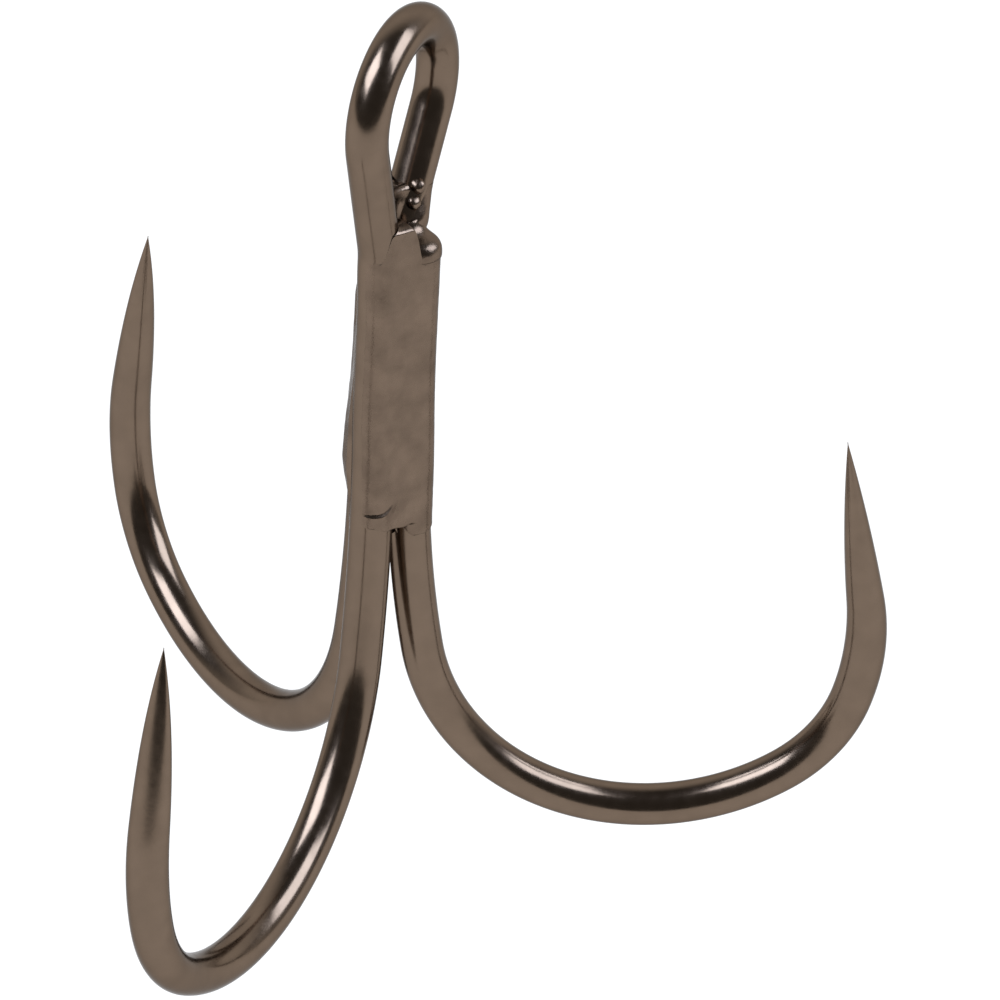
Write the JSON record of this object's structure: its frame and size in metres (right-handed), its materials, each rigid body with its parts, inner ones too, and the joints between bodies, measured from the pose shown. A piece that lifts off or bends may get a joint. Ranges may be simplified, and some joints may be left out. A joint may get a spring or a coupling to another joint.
{
  "type": "treble hook",
  "caption": "Barbless round-bend fishing hook with needle points spread evenly round one brazed wire shank, and a closed wire eye to tie on by.",
  "frame": {"origin": "middle of the eye's round head, in the plane of the eye", "axes": "+Z along the shank, away from the points; +X the way the single hook points; -Z is the way the hook hangs from its eye"},
  "size_m": [0.0224, 0.0257, 0.0268],
  "materials": {
    "plated_wire": "glossy dark bronze-black nickel plate on high-carbon steel wire",
    "plated_braze": "the same dark plate over brazing metal, slightly rippled"
  },
  "bodies": {
    "root": {"double_hook_wire": "plated_wire", "single_hook_wire": "plated_wire", "core_braze": "plated_braze", "front_groove_braze": "plated_braze", "rear_groove_braze": "plated_braze", "side_groove_braze": "plated_braze", "eye_throat_braze": "plated_braze", "butt_end_bead": "plated_braze"}
  },
  "joints": []
}
